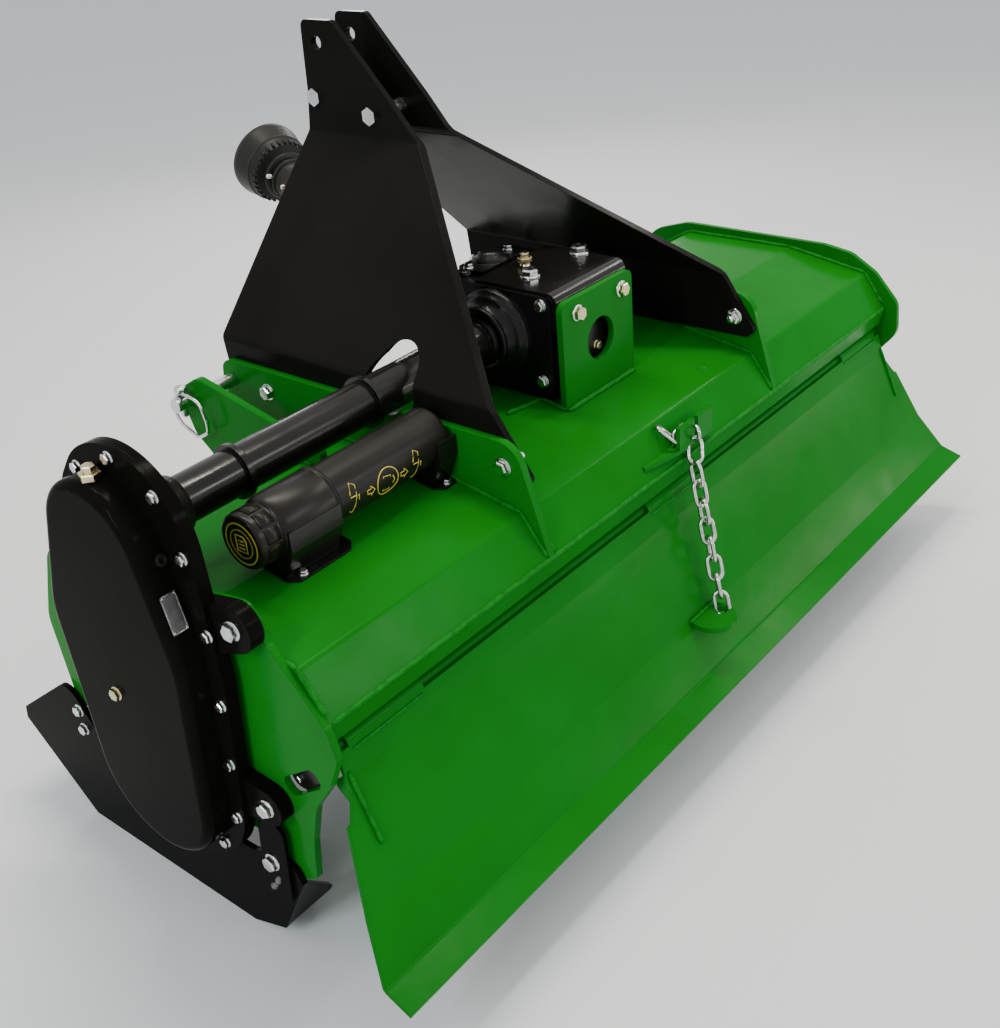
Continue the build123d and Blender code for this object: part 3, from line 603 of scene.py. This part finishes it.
def breathers():
    """Vented filler plugs of the side drive and the gearbox."""
    piece = Piece("breathers", "root", "zinc", YELLOW_ZINC)
    for foot, scale in breather_spots:
        spot = place(*foot, UP, breather_turn)
        neck, hexagon, vent = ([(r * scale, z * scale) for r, z in rows]
                               for rows in (neck_rows, hexagon_rows, vent_rows))
        piece.turned(spot, [(neck[0][0], neck_root)] + neck, 24)
        piece.turned(spot, hexagon, 6, smooth=False)
        piece.turned(spot, vent, 6, smooth=False)
    piece.done()


# The blank plate: its place, half sizes, border's half width, and how far its rivets are from its edges.
plate_spot = (cover_x + 22, -119.3, 549.4)
plate_wide, plate_tall, plate_thick = 11, 24.5, 0.7
border, border_thick, rivet_inset = 0.9, 1.2, 2.6
rivet_rows = [(1.3, 0), (1.1, 0.6), (0.5, 0.9), (0, 1)]


def rectangle(x, y, u, v):
    """Outline about (x, y), with half sizes u and v."""
    return [(x - u, y - v), (x + u, y - v), (x + u, y + v), (x - u, y + v)]


def rating_plate():
    """Blank plate with a raised border and four rivets."""
    piece = Piece("rating_plate", "root", "zinc", PLATE, ZINC)
    spot = place(*plate_spot, cover_wall)
    wide, tall = plate_wide, plate_tall
    piece.plate(spot, rectangle(0, 0, wide, tall), plate_thick)
    for bar in ((0, tall - border, wide, border), (0, border - tall, wide, border),
                (wide - border, 0, border, tall), (border - wide, 0, border, tall)):
        piece.plate(spot, rectangle(*bar), border_thick, 1)
    for x in (rivet_inset - wide, wide - rivet_inset):
        for y in (rivet_inset - tall, tall - rivet_inset):
            piece.turned(spot @ Matrix.Translation((x, y, plate_thick)), rivet_rows, 10, 1)
    piece.done()


# Casting round the drive tube, in steps that don't go right round it:
# (inside, outside, low, high, first angle, last angle, steps), then its turned collar.
shoulder_back = 11
shoulder_steps = (
    (40, 98, 0, 8, -22, 202, 40),
    (40, 86, 8, 26, -20, 200, 40),
    (34, 68, 26, 34, -16, 196, 36),
)
shoulder_collar = [(56, 12), (60, 30), (57, 38), (46, 50), (39, 58), (37, 66), (31.2, 68)]


def tube_shoulder():
    """Rough casting round the drive tube, behind the side drive's flange."""
    piece = Piece("tube_shoulder", "root", "black_paint", CAST)
    spot = place(joint_x + shoulder_back, drive_y, drive_z, RIGHT)
    for step in shoulder_steps:
        sector(piece, spot, *step)
    piece.turned(spot, shoulder_collar, 48)
    piece.done()


# ---------------------------------------------------------------- hitch and gearbox
mast_foot_bolts = ((-222, 549), (237, 553))
hitch_bolt_size, hitch_stud = 12, 7


def hitch_bolts():
    """Bolts of the mast plates' feet, with their nuts inside."""
    piece = Piece("hitch_bolts", "root", "zinc", ZINC)
    for y, z in mast_foot_bolts:
        for side, outward, inward in ((-1, LEFT, RIGHT), (1, RIGHT, LEFT)):
            bolt(piece, side * rib_side, y, z, outward, hitch_bolt_size)
            bolt(piece, side * mast_inside, y, z, inward, hitch_bolt_size, stud=hitch_stud)
    piece.done()


# Linch pin: its spot, its foot below the hitch pin's line, its outline, and its wire bail in (y, z).
linch_x, linch_y, linch_z, linch_foot = 407, 317, 557, 24
linch_rows = [(0, 0), (3, 1), (5, 4), (5, 40), (9, 41), (9.5, 43), (9.5, 48), (8, 50), (0, 50)]
bail = [(316, 575), (336, 557), (341, 548), (329, 522), (291, 506), (265, 521), (263, 537), (271, 565),
        (282, 571)]
bail_out, bail_bend, bail_wire = 3, 7, 2.6


def linch_pin(name, side):
    """Linch pin through the lower hitch pin's end, its wire bail folded down over it."""
    piece = Piece(name, "root", "zinc", ZINC)
    x = side * linch_x
    piece.turned(place(x, linch_y, linch_z - linch_foot, UP), linch_rows, 20)
    path = rounded_loop([(x + side * bail_out, y, z) for y, z in bail], bail_bend)
    piece.swept(path, bail_wire, 10, closed=True)
    piece.done()


# The gearbox casting. Its flange towards the drive tube is a rounded rectangle of these sizes.
flange_middle, flange_wide, flange_tall, flange_corner, flange_thick = (-10, 604), 220, 152, 18, 7
flange_seat = box_left - 2
boss_out = 12
boss_rows = [(68, -6), (68, 1), (66, 4), (60, 7), (60, 9), (56, 10), (48, 22), (47, 26), (50, 27), (50, 32),
             (47, 34), (41, 34), (40, 31), (36, 31), (35, 38), (31.2, 39)]
# Raised pad on its top, the round cover on the pad, and two bosses for bolts.
pad_y, pad_wide, pad_deep, pad_corner, pad_high = 60, 112, 52, 12, 8
dome_y = 62
dome_rows = [(30, 0), (29, 4), (20, 6), (18, 12), (0, 13)]
top_boss_rows = [(13, 0), (13, 5), (9, 8), (0, 8)]
top_boss_y, top_boss_x = 66, (-32, 88)


def gearbox_details():
    """Side flange, stepped boss and raised pads of the casting."""
    piece = Piece("gearbox_flange", "root", "black_paint", CAST)
    piece.plate(place(flange_seat, *flange_middle, LEFT),
                rounded_rectangle(flange_wide, flange_tall, flange_corner), flange_thick)
    piece.turned(place(flange_seat - boss_out, drive_y, drive_z, LEFT), boss_rows, 56)
    piece.plate(place(box_x, pad_y, casting_top, UP),
                rounded_rectangle(pad_wide, pad_deep, pad_corner, 4), pad_high)
    piece.turned(place(box_x, dome_y, casting_top + pad_high, UP), dome_rows, 32)
    for x in top_boss_x:
        piece.turned(place(x, top_boss_y, casting_top, UP), top_boss_rows, 20)
    piece.done()


# Bolts of the gearbox. On the bracket's top (x, y), through the support plate (x, z), the oil level plug,
# on the side flange (y, z), and on the pad (x).
bracket_bolts = ((-10, -46), (108, -50))
support_bolts = ((-23, 648), (88, 648))
oil_plug = (46, -121, 569)
side_bolts = ((-105, 667), (-102, 548), (80, 548), (80, 662))
pad_bolts = (-20, 76)
bracket_bolt_size, support_bolt_size, small_bolt_size, side_bolt_size = 14, 12, 8, 9


def gearbox_bolts():
    piece = Piece("gearbox_bolts", "root", "zinc", ZINC, YELLOW_ZINC)
    for x, y in bracket_bolts:
        bolt(piece, x, y, box_top, UP, bracket_bolt_size)
    for x, z in support_bolts:
        bolt(piece, x, support_y, z, REAR, support_bolt_size, paint=1, rim=0)
    bolt(piece, *oil_plug, REAR, small_bolt_size, paint=1)
    for y, z in side_bolts:
        bolt(piece, flange_seat - flange_thick, y, z, LEFT, side_bolt_size)
    for x in pad_bolts:
        bolt(piece, x, top_boss_y, casting_top + pad_high, UP, small_bolt_size)
    piece.done()


# ---------------------------------------------------------------- skids, bearing, end plates
# Bolts that hold each skid: two at the front (y, z), one through the bracket behind. Each with how far
# from the end plate it sits, and its size.
skid_front_bolts, skid_front_out, skid_front_size = ((252, 221), (252, 187)), 9, 9
skid_rear_bolt, skid_rear_out, skid_rear_size = (-153, 160), 14, 12
# Bolts round the bearing's hub.
hub_bolts, hub_bolt_radius, hub_bolt_size = 6, 66, 11


def skid_bolts():
    piece = Piece("skid_bolts", "root", "zinc", ZINC)
    for side, outward in ((-1, LEFT), (1, RIGHT)):
        for y, z in skid_front_bolts:
            bolt(piece, side * (half + skid_front_out), y, z, outward, skid_front_size)
        bolt(piece, side * (half + skid_rear_out), *skid_rear_bolt, outward, skid_rear_size)
    for i in range(hub_bolts):
        a = math.radians(360 / hub_bolts * i + 30)
        y, z = hub_bolt_radius * math.cos(a), rotor_z + hub_bolt_radius * math.sin(a)
        bolt(piece, half + skid_rear_out, y, z, RIGHT, hub_bolt_size)
    piece.done()


# Black straps behind the end plates' slots, painted shade that keeps the view through each slot dark: (y, z)
# and sizes, and the gap that keeps them off the plate.
end_plate_thick, shade_strap_gap = 10, 0.2
shade_strap_middle, shade_strap_wide, shade_strap_tall, shade_strap_corner, shade_strap_thick = (-229, 320), 60, 44, 14, 4
shade_strap_bolt, shade_strap_bolt_size = (-212, 311), 5


def slot_shade_straps():
    """Black strap behind the slot in each end plate, painted shade for the view through it, with the end of
    its bolt.
    """
    piece = Piece("slot_shade_straps", "root", "black_paint", BLACK, ZINC)
    for side, outward, inward in ((-1, LEFT, RIGHT), (1, RIGHT, LEFT)):
        inside = half - end_plate_thick
        # Painted shade: a black sheet just inside the end plate, seen through its slot.
        piece.plate(place(side * (inside - shade_strap_gap), *shade_strap_middle, inward),
                    rounded_rectangle(shade_strap_wide, shade_strap_tall, shade_strap_corner), shade_strap_thick)
        bolt(piece, side * inside, *shade_strap_bolt, outward, shade_strap_bolt_size, washer=False, paint=1)
    piece.done()


skid_weld_out, skid_weld_radius = 11, 6
skid_weld_points = ((2, -160, 137), (3, -152, 121), (2, -138, 106))


def skid_welds():
    piece = Piece("skid_welds", "root", "black_paint", WELD)
    for side in (-1, 1):
        foot = half + skid_weld_out
        weld(piece, [(side * (foot + out), y, z) for out, y, z in skid_weld_points], skid_weld_radius)
    piece.done()


# ---------------------------------------------------------------- canister
cap_x = low_x("canister_cap")
# Grips round the cap: how many, their sizes (inside, outside, low, high), and the first and last angle.
grips, grip_sizes, grip_angles = 10, (35, 37.9, 12, 33), (3, 33)
collar_rows = [(37, 36), (39.5, 38), (40.5, 41), (42.5, 46), (42.5, 120), (41.5, 122), (43, 123), (43, 127),
               (39.1, 127)]
# Two rings printed on the cap's face (radius, z), and a generic sheet mark between them.
face_lift, face_shift = 0.1, 2
ring_rows = ([(26.5, 0), (26.5, 0.35), (28.3, 0.35), (28.3, 0)],
             [(18.6, 0), (18.6, 0.3), (19.6, 0.3), (19.6, 0)])
sheet_outline = [(-9, -11), (-9, 11), (5, 11), (9, 6), (9, -11)]
sheet_lines = ([(-5, 4), (5, 4)], [(-5, -1), (5, -1)], [(-5, -6), (5, -6)])
mark_radius = 0.8


def cap_details():
    """Grips round the screw cap, the collar behind it and the printed rings on its face."""
    piece = Piece("cap_grips", "root", "dark_plastic", CANISTER, YELLOW)
    spot = place(cap_x, can_y, can_z, RIGHT)
    for k in range(grips):
        turn = 360 / grips * k
        sector(piece, spot, *grip_sizes, turn + grip_angles[0], turn + grip_angles[1], 6)
    piece.turned(spot, collar_rows, 64)
    face = place(cap_x - face_lift, can_y - face_shift, can_z, LEFT)
    for rows in ring_rows:
        piece.turned(face, rows, 64, 1, smooth=False)
    for line in (sheet_outline, *sheet_lines):
        path = [face @ Vector((u, v, 0)) for u, v in line]
        piece.swept(path, mark_radius, 6, 1, closed=line is sheet_outline)
    piece.done()


# The canister's printed marks, as (x, arc) about each mark's middle, arc being the distance round the tube.
print_x, print_turn, print_twist, print_radius = -499, -5, 0.07, 0.75
tapered = [(-6, -17), (-1, -20), (2, -10), (5, 4), (6, 19), (-1, 24), (-5, 10)]
taper_line, taper_dash = [(-5, 5), (5, 5)], [(9, -3), (9, 5)]
arrow = [(-6, -3), (0, -3), (0, -7), (7, 0), (0, 7), (0, 3), (-6, 3)]
ring_wide, ring_tall, ring_count = 19, 20, 36
ring = [(ring_wide * math.cos(math.tau * i / ring_count), ring_tall * math.sin(math.tau * i / ring_count))
        for i in range(ring_count)]
form, form_line = [(-9, -11), (3, -13), (5, 8), (-7, 10)], [(9, 6), (12, 0), (9, -6)]
# (middle in x, marks, whether each is closed)
prints = (
    (-499, ((tapered, True), (taper_line, False), (taper_dash, False))),
    (-385, ((tapered, True), (taper_line, False), (taper_dash, False))),
    (-469, ((arrow, True),)),
    (-408, ((arrow, True),)),
    (-438, ((ring, True), (form, True), (form_line, False))),
)


def canister_print():
    """Plain yellow marks along the tube: tapered outlines, arrows and a ring round a simple form."""
    piece = Piece("canister_print", "root", "dark_plastic", YELLOW)
    for middle_x, marks in prints:
        for points, closed in marks:
            path = []
            for u, arc in points:
                x = middle_x + u
                a = math.radians(print_turn - print_twist * (x - print_x)) + arc / can_r
                path.append(at(x, can_y - can_r * math.cos(a), can_z + can_r * math.sin(a)))
            piece.swept(path, print_radius, 6, closed=closed)
    piece.done()


# Sheets under the canister's saddles, (first x, last x), in a plane on the hood's slope.
base_y, base_gap, base_thick = -100, 0.2, 3
base_spans = ((low_x("canister_feet") - 5, -506), (-349, -304))
base_rear, base_front, base_cut = -42, 8, 12
base_bolt, base_bolt_size, base_slot = 24, 6, 42
base_inset = 9
# The slot is a thin near-black sheet laid on the base: painted shade.
slot_wide, slot_tall, slot_corner, slot_thick = 12, 6, 3, 0.3


def canister_base():
    """Sheet under each saddle, lying on the hood's slope, with a bolt and a slot, the slot a thin near-black
    sheet of painted shade.
    """
    piece = Piece("canister_base", "root", "black_paint", BLACK, ZINC, DARK_PLUG_AND_SLOT_SHADE)
    spot = place(0, base_y, deck_height(base_y) + base_gap, hood_slope)
    rear, front, cut = base_rear, base_front, base_cut
    for low, high in base_spans:
        piece.plate(spot, [(low, front), (low, rear + cut), (low + cut, rear), (high - cut, rear),
                           (high, rear + cut), (high, front)], base_thick)
        bolt_at = spot @ Vector((low + base_bolt, rear + base_inset, base_thick))
        bolt(piece, *machine(bolt_at), hood_slope, base_bolt_size, paint=1)
        # Painted shade for the slot: a thin near-black sheet.
        slot = spot @ Matrix.Translation((low + base_slot, rear + base_inset, base_thick))
        piece.plate(slot, rounded_rectangle(slot_wide, slot_tall, slot_corner), slot_thick, 2)
    piece.done()


# ---------------------------------------------------------------- welds
# Bend lines of the hood's outer face, from its rear edge to its front one. (y, z)
deck_points = [(-290, 425), (-247, 487), (-91, 514), (127, 514), (222, 462), (244, 390)]


def deck_height(y):
    for (ya, za), (yb, zb) in zip(deck_points, deck_points[1:]):
        if ya <= y <= yb:
            return za + (zb - za) * (y - ya) / (yb - ya)
    return deck_points[-1][1]


def along_deck(x, start, stop, over=1.5):
    """Points on the hood's outer face at one x, from start to stop along y."""
    bends = [y for y, z in deck_points if start < y < stop]
    return [(x, y, deck_height(y) + over) for y in [start] + bends + [stop]]


# Beads on the hood: the one along its rear rail, with how far it stops short of the ends, then those that
# cross it, (x, first y, last y, radius), the same on each side: ribs, ears, end plates.
rail_inset, rail_y, rail_z, seam_radius = 14, -288, 427, 3.8
crossing = (
    (rib_side + 1.5, -286, 243, 3.8), (rib_side - 13.5, -286, 243, 3.8),
    (393.5, 60, 243, 4), (378.5, 60, 243, 4),
    (half - 11.5, -284, 240, 3.8),
)
support_bead, support_radius = [(-60, support_y - 2, 507), (116, support_y - 2, 507)], 4.8
bracket_bead, bracket_radius = [(-61, support_y, 508), (-61, -92, 515.5), (-128, -80, 515.5)], 4
prong_bead, prong_radius = [(10, -277, 450.5), (100, -277, 450.5)], 3.5
# A round weld that closes a hole in the hood.
plug_x, plug_y = 194, -219
plug_rows = [(8, -1), (8, 0.7), (7.2, 1.2), (6, 1.1), (5.6, 0.4), (0, 0.5)]


def green_welds():
    piece = Piece("green_welds", "root", "green_paint", BEAD)
    reach = half - rail_inset
    weld(piece, [(-reach, rail_y, rail_z), (reach, rail_y, rail_z)], seam_radius)
    for side in (-1, 1):
        for x, start, stop, radius in crossing:
            weld(piece, along_deck(side * x, start, stop), radius)
    weld(piece, support_bead, support_radius)
    weld(piece, bracket_bead, bracket_radius)
    weld(piece, prong_bead, prong_radius)
    piece.turned(place(plug_x, plug_y, deck_height(plug_y), hood_slope), plug_rows, 24)
    piece.done()


# Beads on the flap: under its lug, under each knuckle (first x, last x), and beside each end lip.
lug_bead, lug_radius = [(-66, -355, 208), (4, -355, 208)], 3
knuckles = ((-half + 37, -half + 163), (-63, 63), (half - 163, half - 37))
knuckle_y, knuckle_z, thin_radius = -285, 372, 2.8
lip_inset, lip_top, lip_low = 22, (-293, 349), (-330, 262)


def flap_welds():
    piece = Piece("flap_welds", "flap", "green_paint", BEAD)
    weld(piece, lug_bead, lug_radius)
    for low, high in knuckles:
        weld(piece, [(low, knuckle_y, knuckle_z), (high, knuckle_y, knuckle_z)], thin_radius)
    for side in (-1, 1):
        x = side * (half - lip_inset)
        weld(piece, [(x, *lip_top), (x, *lip_low)], thin_radius)
    piece.done()


# ---------------------------------------------------------------- rotor
# Discs along the rotor, tines on each side of one, and how much each disc is turned from the last.
stations, per_side, station_turn, side_turn = 6, 3, 26, 60
end_inset = 80
tine_bolt_radii, tine_bolt_size = (55, 72), 10
head_out, nut_out = 13, 5


def tine_bolts():
    """Two bolts through each tine and its disc, heads on the tine's side."""
    piece = Piece("tine_bolts", "rotor", "zinc", DULL_BOLT)
    first = half - end_inset
    for n in range(stations):
        x = -first + n * 2 * first / (stations - 1)
        for side, outward, inward in ((-1, LEFT, RIGHT), (1, RIGHT, LEFT)):
            if (n == 0 and side < 0) or (n == stations - 1 and side > 0):
                continue
            for k in range(per_side):
                a = math.radians(360 * k / per_side + station_turn * n + (side_turn if side > 0 else 0))
                for r in tine_bolt_radii:
                    y, z = -r * math.sin(a), rotor_z + r * math.cos(a)
                    bolt(piece, x + side * head_out, y, z, outward, tine_bolt_size, washer=False)
                    bolt(piece, x - side * nut_out, y, z, inward, tine_bolt_size, washer=False)
    piece.done()


# ---------------------------------------------------------------- chain
# A link: its wire's radius, and its outside length and width.
wire = 3.25
link_long, link_wide = 45.5, 27.0
# The hanging chain's ends: under the first link at the bracket, and in the flap's eye.
chain_top, chain_low = Vector((27, -306, 420)), Vector((-8, -377, 200))
hanging_links = 8
# Across the chain, towards the camera's left, and how much each link is turned from the one two below.
chain_across, link_twist = Vector((-0.72, -0.43, 0.51)), 6
# Links at and behind the bracket: (middle, along, across).
held_links = (
    ((39, -299, 438), (22, 15, 36), (0.62, -0.70, -0.1)),
    ((52, -287, 461), (10, 18, -4), (0.1, 0.2, 1)),
    ((33, -278, 462), (1, 0.04, 0.1), (0, 0.3, 1)),
    ((8, -270, 470), (-12, 20, 20), (0.8, 0.6, -0.2)),
)
bend_steps = 8


def chain_link(piece, middle, along, wide):
    """One welded link. along and wide are directions in its plane."""
    middle, along, wide = Vector(middle), Vector(along).normalized(), Vector(wide)
    wide = (wide - along * wide.dot(along)).normalized()
    bend = link_wide / 2 - wire
    straight = (link_long - link_wide) / 2
    path = []
    for side in (1, -1):
        for i in range(bend_steps):
            a = math.pi * i / (bend_steps - 1) - math.pi / 2
            out = along * (straight + bend * math.cos(a)) + wide * bend * math.sin(a)
            path.append(at(*(middle + side * out)))
    piece.swept(path, wire, 8, closed=True)


def hanging_chain():
    """Chain from the bracket to the flap's eye. It rides on the flap."""
    piece = Piece("hanging_chain", "flap", "zinc", CHAIN)
    along = (chain_top - chain_low) / hanging_links
    flat = along.cross(chain_across)
    edgewise = along.cross(flat)
    for i in range(hanging_links):
        twist = math.radians(link_twist) * i
        wide = flat if i % 2 == 0 else edgewise
        other = edgewise if i % 2 == 0 else -flat
        chain_link(piece, chain_low + along * (i + 0.5), along, wide.normalized() * math.cos(twist)
                   + other.normalized() * math.sin(twist))
    chain = piece.done()
    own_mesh(chain)
    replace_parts(chain, "flap_chain")


def chain_end():
    """First link, dropped through the bracket's slot, and the spare ones lying on the hood behind it."""
    piece = Piece("chain_end", "root", "zinc", CHAIN)
    for middle, along, wide in held_links:
        chain_link(piece, middle, along, wide)
    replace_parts(piece.done(), "chain_tail")


# ---------------------------------------------------------------- driveline
def driveline_place(s):
    """Matrix at distance s from the rear cross, its +Z along the driveline."""
    spot = joints["driveline_lift"]["pos_m"]
    axis = Vector(joints["driveline_slide"]["axis"]).normalized()
    turn = axis.to_track_quat("Z", "Y").to_matrix().to_4x4()
    return Matrix.Translation(Vector(spot) + axis * s * MM) @ turn @ Matrix.Scale(MM, 4)


# Turned rings of the guard, each at a distance from the rear cross: (distance, rows, sides).
bell_rings = (
    (498, [(61, 0), (63.4, 1), (63.8, 4), (62.6, 6)], 56),
    (462, [(36, 0), (43.5, 2), (44.5, 4), (44.5, 8), (42, 10)], 48),
    (448, [(35.4, 0), (39, 1), (39, 5), (35.4, 6)], 48),
)
cone_rings = (
    (96, [(37, 0), (40, 1), (40, 7), (37, 8)], 40),
    (378, [(37, 0), (39, 1), (39, 6), (37, 7)], 40),
)
# Ribs round the bell's neck: distance, count, sizes (inside, outside, low, high), and width in degrees.
rib_at, rib_count, rib_sizes, rib_turn = 478, 30, (44, 59, 2, 21), 4
# A pale grease cap and a pinkish screw on the guard's collar: (spot, which way it looks, paint).
collar_caps = (
    ((96.9, 645.8, 730.1), (-0.95, 0.18, 0.24), 1),
    ((93.7, 607.9, 715.7), (-0.96, 0.2, 0.17), 2),
)
cap_rows = [(4, -6), (4, 1), (2.6, 2.6), (0, 3)]
nipple_rows = [(3, 10), (3, 14), (2, 15), (2, 18), (0, 18.5)]


def guard_details():
    """Ribs and rings of the bell, with a grease cap and a screw on its collar."""
    piece = Piece("guard_ribs", "driveline_front", "guard_plastic", GUARD, PALE, PINK_ZINC)
    pitch = 360 / rib_count
    for k in range(rib_count):
        sector(piece, driveline_place(rib_at), *rib_sizes, pitch * k, pitch * k + rib_turn, 1)
    for distance, rows, sides in bell_rings:
        piece.turned(driveline_place(distance), rows, sides)
    for spot, towards, paint in collar_caps:
        piece.turned(place(*spot, towards), cap_rows, 12, paint)
    piece.done()


def driveline_fittings():
    """Rings of the rear guard and a grease nipple on the rear cross."""
    piece = Piece("rear_guard_rings", "driveline", "guard_plastic", GUARD, ZINC)
    for distance, rows, sides in cone_rings:
        piece.turned(driveline_place(distance), rows, sides)
    piece.turned(driveline_place(0), nipple_rows, 10, 1)
    piece.done()


# ---------------------------------------------------------------- making
look()
studio()
dress_nodes()
side_drive_bolts()
breathers()
rating_plate()
tube_shoulder()
hitch_bolts()
linch_pin("linch_pin_left", -1)
linch_pin("linch_pin_right", 1)
gearbox_details()
gearbox_bolts()
skid_bolts()
skid_welds()
cap_details()
canister_print()
canister_base()
slot_shade_straps()
green_welds()
flap_welds()
tine_bolts()
hanging_chain()
chain_end()
guard_details()
driveline_fittings()
